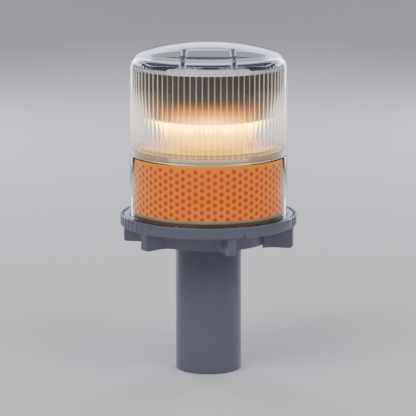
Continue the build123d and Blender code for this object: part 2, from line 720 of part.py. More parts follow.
with BuildPart() as board_parts:
    for place, radius, height in (((-14, 8), 5.0, 6.0), ((2, 16), 4.0, 11.0), ((-4, -18), 3.0, 7.0)):
        with BuildSketch(Plane.XY.offset(board_top)):
            with Locations(place):
                Circle(radius)
        extrude(amount=height)
    for place, size, height in (((6, -6), (9, 6), 1.8), ((24, 12), (6, 8), 5.0), ((24, -10), (6, 8), 5.0)):
        with BuildSketch(Plane.XY.offset(board_top)):
            with Locations(place):
                Rectangle(*size)
        extrude(amount=height)

with BuildPart() as board_screws:
    with Locations(*spots(post_points, board_top)):
        Cylinder(SCREW_HEAD_RADIUS, SCREW_HEAD_HEIGHT, align=ON_BASE)
        Cylinder(SCREW_RADIUS, SCREW_BITE + BOARD_THICKNESS, align=HANGING)

with BuildPart() as switch_body:
    with Locations((0, switch_place, chassis_top)):
        Box(SWITCH_BODY, SWITCH_BODY, SWITCH_HEIGHT, align=ON_BASE)
        Cylinder(SWITCH_BUSH_RADIUS, CHASSIS_PLATE, align=HANGING)
        Cylinder(BUTTON_COLLAR + BUTTON_GAP, collar_room, align=ON_BASE, mode=Mode.SUBTRACT)
        Cylinder(BUTTON_RADIUS + BUTTON_GAP, CHASSIS_PLATE, align=HANGING, mode=Mode.SUBTRACT)

with BuildPart() as switch_button:
    with Locations((0, switch_place, chassis_top + BUTTON_GAP)):
        Cylinder(BUTTON_COLLAR, BUTTON_COLLAR_HEIGHT, align=ON_BASE)
        Cylinder(BUTTON_RADIUS, CHASSIS_PLATE + BUTTON_REACH, align=HANGING)
    fillet(switch_button.edges().sort_by(Axis.Z)[0], BUTTON_RADIUS / 3)

# ================================================================ screws
cover_screws = countersunk_screws(rim_points, COVER_SCREW_LENGTH)
chassis_screws = countersunk_screws(post_points, CHASSIS_PLATE + 2 * SCREW_BITE)
door_screws = countersunk_screws(door_points, door_screw_length)

with BuildPart() as panel_screws:
    with Locations(*spots(clip_points, tray_top + CLIP_HEIGHT)):
        Cylinder(CLIP_RADIUS * 0.85, CLIP_SCREW_HEAD, align=ON_BASE)
        Cylinder(SCREW_RADIUS, CLIP_HEIGHT + TRAY_THICKNESS, align=HANGING)

with BuildPart() as deck_screws:
    with Locations(*spots(ear_points, deck_top + DIFFUSER_PLATE)):
        Cylinder(SCREW_HEAD_RADIUS, SCREW_HEAD_HEIGHT, align=ON_BASE)
        Cylinder(SCREW_RADIUS, DIFFUSER_PLATE + SCREW_BITE, align=HANGING)

# ================================================================ leads inside the head
with BuildPart() as panel_leads:
    # from the panel's back, down the middle of the reflector and the LED column to the board
    for side in (-1, 1):
        with BuildLine() as route:
            FilletPolyline(
                (side, 0, tray_top),
                (side, 0, tray_bottom - 2 * LEAD_BEND),
                (2.5 * side, 1, skirt_bottom - 2 * LEAD_BEND),
                (1.5 * side, -1, diffuser_top),
                (2 * side, 1, deck_top),
                (10 + 2 * side, 0, board_top + 2 * LEAD_BEND),
                (10 + 2 * side, 0, board_top),
                radius=LEAD_BEND,
            )
        with BuildSketch(Plane((side, 0, tray_top), z_dir=(0, 0, -1))):
            Circle(LEAD_RADIUS)
        sweep(path=route.line)

PIECES = {
    "base_housing": base_housing,
    "stem_tube": stem_tube,
    "chassis_plate": chassis_plate,
    "lens_cover": lens_cover,
    "cover_seal": cover_seal,
    "reflector_band": reflector_band,
    "inner_drum": inner_drum,
    "inner_diffuser": inner_diffuser,
    "led_column": led_column,
    "led_strip": led_strip,
    "leds": leds,
    "cone_reflector": cone_reflector,
    "panel_tray": panel_tray,
    "panel_clips": panel_clips,
    "solar_panel": solar_panel,
    "solar_cells": solar_cells,
    "battery_holder": battery_holder,
    "battery_cells": battery_cells,
    "battery_contacts": battery_contacts,
    "battery_door": battery_door,
    "door_seal": door_seal,
    "control_board": control_board,
    "board_parts": board_parts,
    "board_screws": board_screws,
    "switch_body": switch_body,
    "switch_button": switch_button,
    "cover_screws": cover_screws,
    "chassis_screws": chassis_screws,
    "door_screws": door_screws,
    "panel_screws": panel_screws,
    "deck_screws": deck_screws,
    "panel_leads": panel_leads,
}

os.makedirs("parts", exist_ok=True)
for name, piece in PIECES.items():
    piece.part.label = name
    export_step(piece.part, f"parts/{name}.step")
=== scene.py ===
# %% [markdown]
# # A traffic cone's warning light
# The object is a battery lamp that a road crew drops into the open top of a cone. From the bottom up it
# is a plain plastic tube, a grey hub with gussets under a round flange, a ring of amber beads, and a clear
# fluted cover with a solar panel under its shallow dome. The CAD model already holds every piece at its
# real size. What it lacks is what the eye reads as plastic and glass: rounded edges, beads, flutes that
# bend the light, and finishes. The lesson adds those around the fixed frame, one piece at a time.

# %% Load the frame
import json
import math

import bmesh
import bpy
import numpy as np
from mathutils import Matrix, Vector


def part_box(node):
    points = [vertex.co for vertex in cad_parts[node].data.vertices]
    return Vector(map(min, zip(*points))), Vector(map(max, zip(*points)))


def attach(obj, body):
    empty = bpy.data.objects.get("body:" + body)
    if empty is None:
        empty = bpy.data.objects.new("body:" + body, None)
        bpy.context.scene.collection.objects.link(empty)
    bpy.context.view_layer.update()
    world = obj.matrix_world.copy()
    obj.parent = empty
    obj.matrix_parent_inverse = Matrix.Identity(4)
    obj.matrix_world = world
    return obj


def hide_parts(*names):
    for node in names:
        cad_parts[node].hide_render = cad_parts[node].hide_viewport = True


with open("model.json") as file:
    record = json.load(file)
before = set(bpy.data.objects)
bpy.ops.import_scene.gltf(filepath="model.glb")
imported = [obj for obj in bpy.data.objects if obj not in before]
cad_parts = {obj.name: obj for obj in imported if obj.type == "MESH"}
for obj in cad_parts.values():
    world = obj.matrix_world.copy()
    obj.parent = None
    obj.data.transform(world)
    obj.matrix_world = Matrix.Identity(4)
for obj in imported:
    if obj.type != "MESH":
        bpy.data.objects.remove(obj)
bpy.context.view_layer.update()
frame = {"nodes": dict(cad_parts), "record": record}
nodes = frame["nodes"]

# %% [markdown]
# Every new piece takes its place from the CAD boxes, so nothing is fitted by hand. A few words of
# vocabulary first: a box gives the lowest and highest corner of a node, and for a turned piece the
# largest X is simply its outer radius. All lengths below are metres.

# %% Read the places off the CAD
MM = 0.001
TAU = 2 * math.pi


def low(node):
    """The height of a node's lowest point."""
    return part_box(node)[0].z


def high(node):
    """The height of a node's highest point."""
    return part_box(node)[1].z


def reach(node):
    """The largest distance of a turned node from the lamp's axis."""
    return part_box(node)[1].x


crown = high("lens_cover")
cover_foot = low("lens_cover")
cover_lip = reach("lens_cover")
band_low = low("reflector_band")
band_high = high("reflector_band")
band_radius = reach("reflector_band")
deck = high("inner_drum")
print("crown", round(crown, 4), "band", round(band_low, 4), round(band_high, 4), "deck", round(deck, 4))

# %% [markdown]
# ## Surfaces from arrays
# Almost every piece here is round, so one helper does most of the work: it carries a closed outline
# round the axis. The outline is a list of (radius, height) corners. It could be spun with a modifier, but
# working the whole grid out as one array lets a piece change its radius with the angle too, which the
# flutes need. Each row of the grid is one corner of the outline and each column is one direction.

# %% The turning helper
def mesh_piece(name, points, faces):
    """A new smooth object from arrays of points and faces, its normals outwards and its corners sharp."""
    mesh = bpy.data.meshes.new(name)
    mesh.from_pydata(points.reshape(-1, 3).tolist(), [], faces.tolist())
    shell = bmesh.new()
    shell.from_mesh(mesh)
    bmesh.ops.recalc_face_normals(shell, faces=shell.faces)
    shell.to_mesh(mesh)
    shell.free()
    mesh.polygons.foreach_set("use_smooth", [True] * len(mesh.polygons))
    mesh.set_sharp_from_angle(angle=math.radians(32))
    piece = bpy.data.objects.new(name, mesh)
    bpy.context.scene.collection.objects.link(piece)
    return piece


def loop_faces(rows, columns):
    """Quads of a grid that closes on itself both ways, as indices row by row."""
    row = np.arange(rows)[:, None]
    column = np.arange(columns)[None, :]
    next_row = (row + 1) % rows
    next_column = (column + 1) % columns
    corners = [row * columns + column, row * columns + next_column]
    corners += [next_row * columns + next_column, next_row * columns + column]
    return np.stack(corners, -1).reshape(-1, 4)


def turned(name, radius, height, angle):
    """A ring-shaped piece: x = radius cos angle, y = radius sin angle, z = height, over the whole grid."""
    grid = np.broadcast_arrays(radius, height, angle)
    points = np.stack([grid[0] * np.cos(grid[2]), grid[0] * np.sin(grid[2]), grid[1]], -1)
    return mesh_piece(name, points, loop_faces(*points.shape[:2]))


def soften(outline, size, steps=3):
    """The closed outline with each corner replaced by a small arc that starts `size` from the corner.

    Each arc is a quadratic curve: (1 - t)^2 start + 2 t (1 - t) corner + t^2 end.
    """
    corner = np.array(outline, float)
    before = np.roll(corner, 1, 0) - corner
    after = np.roll(corner, -1, 0) - corner
    length_before = np.linalg.norm(before, axis=1, keepdims=True)
    length_after = np.linalg.norm(after, axis=1, keepdims=True)
    cut = np.minimum(size, 0.45 * np.minimum(length_before, length_after))
    start = corner + before / length_before * cut
    end = corner + after / length_after * cut
    t = np.linspace(0, 1, steps + 1)[None, :, None]
    arcs = (1 - t) ** 2 * start[:, None] + 2 * t * (1 - t) * corner[:, None] + t**2 * end[:, None]
    return arcs.reshape(-1, 2)


def turned_outline(name, outline, softness=0.3 * MM, segments=160):
    """A turned piece from a closed outline of (radius, height) corners, softened."""
    soft = soften(outline, softness)
    angle = np.arange(segments) * TAU / segments
    return turned(name, soft[:, :1], soft[:, 1:], angle[None, :])


print("a softened unit square has", len(soften([(0, 0), (1, 0), (1, 1), (0, 1)], 0.1)), "corners")

# %% [markdown]
# ## Shared effects
# Two effects return on many pieces. Moulded plastic is never one flat colour: it has a faint mottling, a
# fine grain in its gloss and a hardly visible waviness. And the lamp's warm light is not spread evenly:
# it is white-hot level with the LEDs and dies away above and below. Each effect is a node group, built
# once, which puts out only colours, roughness and heights, so that every finish keeps its own shader.

# %% Node group helpers
def new_group(name, inputs, outputs):
    """An empty shader node group with typed sockets: inputs are (name, kind, default)."""
    group = bpy.data.node_groups.new(name, "ShaderNodeTree")
    for label, kind, default in inputs:
        socket = group.interface.new_socket(label, in_out="INPUT", socket_type="NodeSocket" + kind)
        socket.default_value = default
    for label, kind in outputs:
        group.interface.new_socket(label, in_out="OUTPUT", socket_type="NodeSocket" + kind)
    return group, group.nodes.new("NodeGroupInput"), group.nodes.new("NodeGroupOutput")


def add_node(tree, kind, links=None, **settings):
    """A node of this kind with its settings and its input sockets filled or linked."""
    node = tree.nodes.new("ShaderNode" + kind)
    for key, value in settings.items():
        setattr(node, key, value)
    for socket, value in (links or {}).items():
        if isinstance(value, bpy.types.NodeSocket):
            tree.links.new(value, node.inputs[socket])
        else:
            node.inputs[socket].default_value = value
    return node


def math_node(tree, operation, first, second=0.0, clamp=False):
    """The output of one Math node."""
    node = add_node(tree, "Math", {0: first, 1: second}, operation=operation, use_clamp=clamp)
    return node.outputs[0]


def mix_colours(tree, factor, first, second):
    """The output of a Mix node set to colours."""
    node = add_node(tree, "Mix", {0: factor, 6: first, 7: second}, data_type="RGBA")
    return node.outputs[2]


print("node helpers ready")

# %% [markdown]
# ### The moulded skin
# Plastic from a mould carries the mould's skin. An image could hold it, but noise worked out at each
# point needs no picture, has no seam on a round piece and stays in place when the piece is turned.

# %% The moulded skin group
def build_moulded_skin():
    """Mottled colour, grainy roughness and a fine height, all from noise in object space."""
    inputs = [("Colour", "Color", (0.5, 0.5, 0.5, 1)), ("Mottle", "Color", (0.4, 0.4, 0.4, 1))]
    inputs += [("Roughness", "Float", 0.4), ("Spread", "Float", 0.1), ("Grain", "Float", 900.0)]
    outputs = [("Colour", "Color"), ("Roughness", "Float"), ("Height", "Float")]
    group, given, out = new_group("moulded_skin", inputs, outputs)
    place = add_node(group, "TexCoord").outputs["Object"]
    cloud = add_node(group, "TexNoise", {"Vector": place, "Scale": 38.0, "Detail": 3.0}).outputs["Fac"]
    grain = add_node(group, "TexNoise", {"Vector": place, "Scale": given.outputs["Grain"], "Detail": 2.0})
    colour = mix_colours(group, cloud, given.outputs["Colour"], given.outputs["Mottle"])
    centred = math_node(group, "SUBTRACT", grain.outputs["Fac"], 0.5)
    spread = math_node(group, "MULTIPLY", centred, given.outputs["Spread"])
    roughness = math_node(group, "ADD", given.outputs["Roughness"], spread, clamp=True)
    group.links.new(colour, out.inputs["Colour"])
    group.links.new(roughness, out.inputs["Roughness"])
    group.links.new(grain.outputs["Fac"], out.inputs["Height"])
    return group


moulded_skin = build_moulded_skin()
print("group:", moulded_skin.name, "with", len(moulded_skin.nodes), "nodes")

# %% [markdown]
# ### The lamp's glow
# The real lamp is lit by a ring of LEDs low inside it. Their light could be left to bounce through the
# cover, but that is slow and stays speckled, so the pieces near them carry it as painted light: emission
# that depends on height alone. It is then the same all round the lamp.

# %% The lamp glow group
def build_lamp_glow():
    """A colour that peaks at one height and fades away above and below it.

    The falloff is one minus the distance from the peak over the reach, cubed, so it ends softly.
    """
    inputs = [("Peak", "Float", 0.15), ("Reach Up", "Float", 0.012), ("Reach Down", "Float", 0.02)]
    inputs += [("Core", "Color", (1, 0.9, 0.6, 1)), ("Fringe", "Color", (1, 0.4, 0.05, 1))]
    group, given, out = new_group("lamp_glow", inputs, [("Colour", "Color")])
    place = add_node(group, "TexCoord").outputs["Object"]
    height = add_node(group, "SeparateXYZ", {"Vector": place}).outputs["Z"]
    above = math_node(group, "SUBTRACT", height, given.outputs["Peak"])
    up = math_node(group, "DIVIDE", above, given.outputs["Reach Up"])
    down = math_node(group, "DIVIDE", above, given.outputs["Reach Down"])
    far = math_node(group, "MAXIMUM", up, math_node(group, "MULTIPLY", down, -1.0))
    near = math_node(group, "SUBTRACT", 1.0, far, clamp=True)
    falloff = math_node(group, "POWER", near, 3.0)
    hue = mix_colours(group, falloff, given.outputs["Fringe"], given.outputs["Core"])
    dark = (0.0, 0.0, 0.0, 1.0)
    group.links.new(mix_colours(group, falloff, dark, hue), out.inputs["Colour"])
    return group


lamp_glow = build_lamp_glow()
print("group:", lamp_glow.name, "with", len(lamp_glow.nodes), "nodes")

# %% [markdown]
# ## Finishes
# Each finish is a short function that starts from one Principled shader. What is the same all over the
# surface, such as the coat or the index of refraction, is set on the shader's own sockets.

# %% The finish helpers
def new_finish(name, **sockets):
    """A material with one Principled shader and these sockets set. Returns the material and the shader."""
    finish = bpy.data.materials.new(name)
    finish.use_nodes = True
    shader = finish.node_tree.nodes["Principled BSDF"]
    for socket, value in sockets.items():
        shader.inputs[socket.replace("_", " ")].default_value = value
    return finish, shader


def use_group(finish, group, **values):
    """The group placed in a finish's node tree with these input values."""
    node = finish.node_tree.nodes.new("ShaderNodeGroup")
    node.node_tree = group
    for socket, value in values.items():
        node.inputs[socket.replace("_", " ")].default_value = value
    return node


def link(finish, output, socket):
    """Joins an output to an input of the same finish."""
    finish.node_tree.links.new(output, socket)


def add_bump(finish, shader, height, distance):
    """A Bump node that feeds the shader's normal."""
    bump = finish.node_tree.nodes.new("ShaderNodeBump")
    bump.inputs["Distance"].default_value = distance
    link(finish, height, bump.inputs["Height"])
    link(finish, bump.outputs["Normal"], shader.inputs["Normal"])


def moulded(name, colour, mottle, roughness=0.4, spread=0.15, grain=900.0, depth=0.01 * MM, **sockets):
    """Moulded plastic, rubber or paint: the skin group drives colour, roughness and a faint bump."""
    finish, shader = new_finish(name, **sockets)
    skin = use_group(
        finish, moulded_skin, Colour=colour, Mottle=mottle, Roughness=roughness, Spread=spread, Grain=grain
    )
    link(finish, skin.outputs["Colour"], shader.inputs["Base Color"])
    link(finish, skin.outputs["Roughness"], shader.inputs["Roughness"])
    if depth:
        add_bump(finish, shader, skin.outputs["Height"], depth)
    return finish


def lets_lamps_through(finish, shader):
    """Rays that look for a lamp pass this finish as if it weren't there, so what it covers is lit.

    Light that bends through glass is slow to find by chance. A Mix Shader that asks whether the ray is a
    shadow ray keeps the look of glass and spares the search.
    """
    tree = finish.node_tree
    clear = add_node(tree, "BsdfTransparent").outputs[0]
    asks = add_node(tree, "LightPath").outputs["Is Shadow Ray"]
    mix = add_node(tree, "MixShader", {0: asks, 1: shader.outputs[0], 2: clear})
    link(finish, mix.outputs[0], tree.nodes["Material Output"].inputs["Surface"])
    return finish


finishes = {}
print("finish helpers ready")

# %% [markdown]
# ### Grey plastic
# The base and the tube are one blue-grey, moulded glossy. A bump was tried and made the gloss speckle at
# this size, so only the colour and the roughness vary, under a thin coat.

# %% Grey plastic
def grey_plastic():
    """The base's blue-grey: glossy from the mould, with a soft clear coat look."""
    return moulded(
        "grey_plastic",
        (0.135, 0.137, 0.19, 1),
        (0.115, 0.117, 0.168, 1),
        roughness=0.34,
        spread=0.06,
        grain=1400.0,
        depth=0.0,
        Coat_Weight=0.2,
        Coat_Roughness=0.15,
    )


finishes["grey_plastic"] = grey_plastic()
print("finish:", finishes["grey_plastic"].name)

# %% [markdown]
# ### Clear plastic
# A lamp's cover is polished polycarbonate, which bends light with an index of 1.58. The index here is
# lower, 1.4, for looks: the higher one hides more of what stands behind the flutes.

# %% Clear plastic
CLEAR_INDEX = 1.4
CLEAR_BLUE = (0.97, 0.98, 1.0, 1)


def clear_plastic(name="clear_plastic", colour=CLEAR_BLUE, roughness=0.0):
    """Clear moulding: full transmission, with a hair of blue in its thickness."""
    finish, shader = new_finish(
        name, Base_Color=colour, Roughness=roughness, Transmission_Weight=1.0, IOR=CLEAR_INDEX
    )
    return lets_lamps_through(finish, shader)


finishes["clear_plastic"] = clear_plastic()
print("finish:", finishes["clear_plastic"].name)

# %% [markdown]
# ### The cover's clear plastic
# On the real lamp each flute gathers some of the lamp's light and shows it as a bright thread. Here the
# threads are painted light, emission on the flute crests. The cover's shape marks its crests in an attribute
# called thread and its fluted wall in one called fluted. The finish reads both. Layer Weight adds more
# painted light where the fluted wall is seen edge-on, because the path through it is longest there. That
# part of the glow follows the viewer, so a baked copy of the model will not keep it.

# %% The cover's clear plastic
THREAD_SHARE = 0.44
EDGE_SHARE = 0.58
EDGE_POWER = 2.5


def fluted_plastic():
    """The same clear plastic, with the lamp's light painted on its flute crests as bright threads."""
    finish, shader = new_finish(
        "fluted_plastic",
        Base_Color=CLEAR_BLUE,
        Roughness=0.0,
        Transmission_Weight=1.0,
        IOR=CLEAR_INDEX,
        Emission_Strength=2.6,
    )
    tree = finish.node_tree
    thread = add_node(tree, "Attribute", attribute_name="thread").outputs["Fac"]
    glow = use_group(finish, lamp_glow, Peak=deck + 16 * MM, Reach_Up=110 * MM, Reach_Down=60 * MM)
    glow.inputs["Core"].default_value = (1.0, 0.75, 0.4, 1)
    glow.inputs["Fringe"].default_value = (1.0, 0.82, 0.7, 1)
    fluted = add_node(tree, "Attribute", attribute_name="fluted").outputs["Fac"]
    edge_on = add_node(tree, "LayerWeight", {"Blend": 0.5}).outputs["Facing"]
    edge_glow = math_node(tree, "MULTIPLY", math_node(tree, "POWER", edge_on, EDGE_POWER), fluted)
    spread = math_node(tree, "MULTIPLY", edge_glow, EDGE_SHARE)
    lines = math_node(tree, "MULTIPLY", thread, THREAD_SHARE)
    share = math_node(tree, "ADD", lines, spread, clamp=True)
    # painted light: emission on the flute crests and where the fluted wall is seen edge-on
    painted_thread_light = mix_colours(tree, share, (0.0, 0.0, 0.0, 1), glow.outputs["Colour"])
    link(finish, painted_thread_light, shader.inputs["Emission Color"])
    return lets_lamps_through(finish, shader)


print("cover finish ready")

# %% [markdown]
# ### The plain finishes
# The pieces that are mostly out of sight share one recipe: a colour, a mottle beside it and a roughness.
# Each name is a material slot of the record, so each CAD node finds its finish by name.

# %% Materials for every CAD slot
finishes |= {
    "amber_plastic": moulded("amber_cad", (0.95, 0.3, 0.02, 1), (0.9, 0.25, 0.01, 1)),
    "white_plastic": moulded("white_plastic", (0.6, 0.6, 0.66, 1), (0.55, 0.55, 0.6, 1), roughness=0.35),
    "dark_plastic": moulded("dark_plastic", (0.05, 0.05, 0.06, 1), (0.035, 0.035, 0.042, 1), grain=700.0),
    "seal_rubber": moulded("seal_rubber", (0.03, 0.03, 0.032, 1), (0.02, 0.02, 0.02, 1), roughness=0.7),
    "component_black": moulded("component_black", (0.03, 0.03, 0.03, 1), (0.02, 0.02, 0.02, 1), 0.5),
    "cell_jacket": moulded("cell_jacket", (0.05, 0.22, 0.1, 1), (0.04, 0.18, 0.08, 1), 0.25, Coat_Weight=0.5),
    "circuit_board": moulded("circuit_board", (0.02, 0.13, 0.06, 1), (0.015, 0.1, 0.045, 1), 0.3),
    "lead_sleeve": moulded("lead_sleeve", (0.35, 0.02, 0.02, 1), (0.28, 0.015, 0.015, 1), 0.45),
    "dark_steel": moulded("dark_steel", (0.05, 0.03, 0.025, 1), (0.035, 0.02, 0.018, 1), 0.35, Metallic=0.6),
    "steel": moulded("zinc_steel", (0.5, 0.5, 0.51, 1), (0.42, 0.42, 0.43, 1), 0.32, Metallic=1.0),
    "contact_metal": moulded("nickel", (0.6, 0.58, 0.52, 1), (0.5, 0.48, 0.44, 1), 0.2, Metallic=1.0),
    "panel_laminate": moulded(
        "panel_laminate", (0.02, 0.025, 0.05, 1), (0.03, 0.035, 0.06, 1), 0.3, Specular_IOR_Level=0.0
    ),
}
print("finishes:", len(finishes))

# %% [markdown]
# ### The silvered cone
# The cone under the panel is metallised plastic that mirrors the LEDs. A true mirror would need many more
# light paths, so it is a dull dark surface with the mirrored light painted on as emission by height.
# Layer Weight makes it strongest where the cone faces the viewer, as a mirror's highlight is. This too
# follows the viewer and will not be kept by a baked copy.

# %% Finish: silvered cone
def silvered_plastic():
    """Metallised plastic: dull and dark, with the LEDs' mirrored light painted on, strongest towards the
    viewer.
    """
    finish, shader = new_finish("silvered_plastic", Metallic=0.2, Emission_Strength=18.0)
    skin = use_group(
        finish,
        moulded_skin,
        Colour=(0.055, 0.042, 0.035, 1),
        Mottle=(0.045, 0.034, 0.028, 1),
        Roughness=0.3,
        Spread=0.1,
        Grain=500.0,
    )
    glow = use_group(finish, lamp_glow, Peak=deck + 17 * MM, Reach_Up=20 * MM, Reach_Down=9 * MM)
    glow.inputs["Core"].default_value = (1.0, 0.6, 0.08, 1)
    glow.inputs["Fringe"].default_value = (1.0, 0.25, 0.0, 1)
    tree = finish.node_tree
    edge_on = add_node(tree, "LayerWeight", {"Blend": 0.5}).outputs["Facing"]
    towards = math_node(tree, "POWER", math_node(tree, "SUBTRACT", 1.0, edge_on), 3.0)
    link(finish, skin.outputs["Colour"], shader.inputs["Base Color"])
    link(finish, skin.outputs["Roughness"], shader.inputs["Roughness"])
    # painted reflection of the LEDs: emission by height, strongest where the cone faces the viewer
    painted_reflection = mix_colours(tree, towards, (0.0, 0.0, 0.0, 1), glow.outputs["Colour"])
    link(finish, painted_reflection, shader.inputs["Emission Color"])
    return finish


finishes["silvered_plastic"] = silvered_plastic()
print("finish:", finishes["silvered_plastic"].name)

# %% [markdown]
# ### The vase and the LEDs
# The vase round the LEDs is frosted, and each LED is a small tinted dome. Both glow by height with the
# shared group, the vase over a longer reach because frosting spreads the light. The vase is no lamp: its
# glow and its yellow tint are painted light from the LEDs.

# %% Finishes: vase and LEDs
def frosted_plastic():
    """The vase round the LEDs: clear with a frosted skin, its yellow tint and its glow painted LED light."""
    # painted light: the yellow base colour and the emission by height stand for the LEDs' light in the vase
    finish, shader = new_finish(
        "frosted_plastic",
        Base_Color=(1.0, 0.75, 0.3, 1),
        Roughness=0.25,
        Transmission_Weight=0.8,
        IOR=1.49,
        Emission_Strength=5.0,
    )
    glow = use_group(finish, lamp_glow, Peak=deck + 17 * MM, Reach_Up=9 * MM, Reach_Down=25 * MM)
    glow.inputs["Core"].default_value = (1.0, 0.7, 0.05, 1)
    glow.inputs["Fringe"].default_value = (1.0, 0.5, 0.0, 1)
    link(finish, glow.outputs["Colour"], shader.inputs["Emission Color"])
    return lets_lamps_through(finish, shader)


def led_resin():
    """A lit LED: warm white light from a tinted dome."""
    finish, shader = new_finish(
        "led_resin", Base_Color=(1.0, 0.8, 0.45, 1), Roughness=0.15, Emission_Strength=9.0
    )
    glow = use_group(finish, lamp_glow, Peak=deck + 13 * MM, Reach_Up=20 * MM, Reach_Down=20 * MM)
    glow.inputs["Core"].default_value = (1.0, 0.66, 0.12, 1)
    link(finish, glow.outputs["Colour"], shader.inputs["Emission Color"])
    return finish


finishes["frosted_plastic"] = frosted_plastic()
finishes["led_resin"] = led_resin()
finishes["tinted_plastic"] = moulded("tinted_plastic", (0.36, 0.26, 0.13, 1), (0.3, 0.21, 0.1, 1), 0.3)
print("lit finishes:", finishes["frosted_plastic"].name, finishes["led_resin"].name)

# %% [markdown]
# ### The solar cells
# A cell is blue-black silicon crossed by fine silver fingers. Modelled fingers would be hundreds of
# slivers, so a saw wave in the colour draws them at a usual spacing.

# %% Finish: silicon
FINGER_PITCH = 1.6 * MM
FINGER_SHARE = 0.1


def silicon():
    """Solar cells: nearly black blue, with fine silver fingers across each cell.

    The fingers are thin bright lines where a saw wave along X passes its top.
    """
    finish, shader = new_finish("silicon", Roughness=0.3, Specular_IOR_Level=0.0)
    tree = finish.node_tree
    place = add_node(tree, "TexCoord").outputs["Object"]
    across = add_node(tree, "SeparateXYZ", {"Vector": place}).outputs["X"]
    saw = math_node(tree, "FRACT", math_node(tree, "MULTIPLY", across, 1 / FINGER_PITCH))
    finger = math_node(tree, "GREATER_THAN", saw, 1 - FINGER_SHARE)
    cloud = add_node(tree, "TexNoise", {"Vector": place, "Scale": 60.0}).outputs["Fac"]
    blue = mix_colours(tree, cloud, (0.012, 0.018, 0.055, 1), (0.02, 0.03, 0.08, 1))
    link(finish, mix_colours(tree, finger, blue, (0.3, 0.32, 0.36, 1)), shader.inputs["Base Color"])
    return finish


finishes["silicon"] = silicon()
finishes["white_print"] = moulded(
    "white_print", (0.75, 0.77, 0.85, 1), (0.7, 0.72, 0.8, 1), 0.4, Specular_IOR_Level=0.0
)

print("finishes:", len(finishes))

# %% [markdown]
# ### Every CAD node gets its finish
# The record names a slot for each node. Two nodes then get a variant of their slot: the column behind the
# LEDs has their warm light painted on as a yellow colour, and the panel's clips are slightly milky.

# %% Give the nodes their finishes
for part in frame["record"]["subparts"]:
    nodes[part["node"]].data.materials.clear()
    nodes[part["node"]].data.materials.append(finishes[part["material_slot"]])
# painted light: the column's yellow stands for the LEDs' light falling on it
nodes["led_column"].data.materials[0] = moulded(
    "painted_lamplight_column", (0.85, 0.6, 0.12, 1), (0.8, 0.55, 0.1, 1), 0.35
)
nodes["panel_clips"].data.materials[0] = clear_plastic("milky_clear", (0.85, 0.87, 0.95, 1), 0.3)
print("every CAD node has a finish")

# %% [markdown]
# ## The clear cover
# The real cover is one injection-moulded bell of clear plastic. Outside it is smooth. Inside, eighty
# shallow flutes run up the wall and break the lamp's light into bright threads, and they are what makes
# the lamp look like a lamp. The CAD model's facets would show through glass, so the cover is worked out
# again as one smooth closed surface, whose inner radius rises and falls with the angle. Its flutes are
# 0.28 mm deep, where the CAD model's are 0.6 mm: deeper ones hid the sloping sides of the cone. Front and
# back, the flutes stop a little lower, and four plain strips part them.

# %% The cover's outline
WALL = 2.2 * MM
FLUTES = 80
STEPS_PER_FLUTE = 10
FLUTE_DEPTH = 0.28 * MM
DOME_RADIUS = 142 * MM
SHOULDER = 9.4 * MM
COVER_RADIUS = 47.75 * MM
LAMP_RADIUS = COVER_RADIUS - 0.2 * MM
WINDOW = math.radians(31)
STRIP_WIDTH = math.radians(1.6)
WINDOW_EDGE = math.radians(0.35)
WINDOW_DROP = 1.6 * MM
BAND_GAP = 0.3 * MM
LIP_HEIGHT = 2.25 * MM
FLUTE_FOOT = 3.9 * MM
FLUTE_OVERRUN = 2.0 * MM
FLUTE_ARCH = 1.3 * MM

dome_centre = crown - DOME_RADIUS
shoulder_r = LAMP_RADIUS - SHOULDER
shoulder_z = dome_centre + math.sqrt((DOME_RADIUS - SHOULDER) ** 2 - shoulder_r**2)
shoulder_end = math.acos(shoulder_r / (DOME_RADIUS - SHOULDER))
crest = LAMP_RADIUS - WALL
band_wall = band_radius + BAND_GAP
recess = band_high + BAND_GAP
flute_low = recess + FLUTE_FOOT


def dome_line(inset, count=28):
    """(radius, height) from the wall over the shoulder to near the axis, inset by a wall thickness."""
    bend = np.linspace(0, shoulder_end, 12)
    round_off = np.stack([shoulder_r + (SHOULDER - inset) * np.cos(bend)], -1)
    round_off = np.hstack([round_off, (shoulder_z + (SHOULDER - inset) * np.sin(bend))[:, None]])
    rise = np.linspace(shoulder_end, math.pi / 2, count)[1:]
    top = (DOME_RADIUS - inset) * np.stack([np.cos(rise), np.sin(rise)], -1)
    return np.vstack([round_off, top + (0, dome_centre)])


def flute_wave(angle):
    """How deep the flutes cut at each angle, from 0 at a crest to 1 in a trough: a row of round arcs."""
    across = (angle * FLUTES / TAU) % 1 * 2 - 1
    return np.sqrt(np.clip(1 - across**2, 0, 1))


print("shoulder at", round(shoulder_z, 4))

# %% The cover's rows
def outside_rows():
    """Up the outside: the foot and its lip, a small step, the wall, then over the dome."""
    lip_top = cover_foot + LIP_HEIGHT
    corners = [(band_wall, cover_foot), (cover_lip, cover_foot)]
    corners += [(cover_lip, lip_top), (COVER_RADIUS, lip_top)]
    step = [(COVER_RADIUS, recess - 0.3 * MM), (LAMP_RADIUS, recess + 0.3 * MM)]
    wall = [(LAMP_RADIUS, z) for z in np.linspace(recess + 1 * MM, shoulder_z, 6)[:-1]]
    return [*soften(corners, 0.4 * MM), *step, *wall, *dome_line(0)]


def inside_rows(cut, flute_high, upper_end, lower_end):
    """Down the inside: the ceiling, the flutes with their arched ends, then the recess of the band."""
    ceiling = [row for row in dome_line(WALL)[::-1] if row[1] > shoulder_z + 2.8 * MM]
    flutes = [
        (crest + cut, flute_low + 2 * MM + share * (flute_high - flute_low - 4 * MM))
        for share in np.linspace(1, 0, 8)
    ]
    return [
        *ceiling,
        (crest - 0.35 * MM, flute_high + 0.7 * MM),
        (crest, upper_end),
        (crest + cut, upper_end - 0.3 * MM),
        *flutes,
        (crest + cut, lower_end + 0.3 * MM),
        (crest, lower_end),
        (crest, recess + 1.1 * MM),
        (band_wall, recess),
        (band_wall, cover_foot + 1 * MM),
    ]


print("rows outside:", len(outside_rows()))

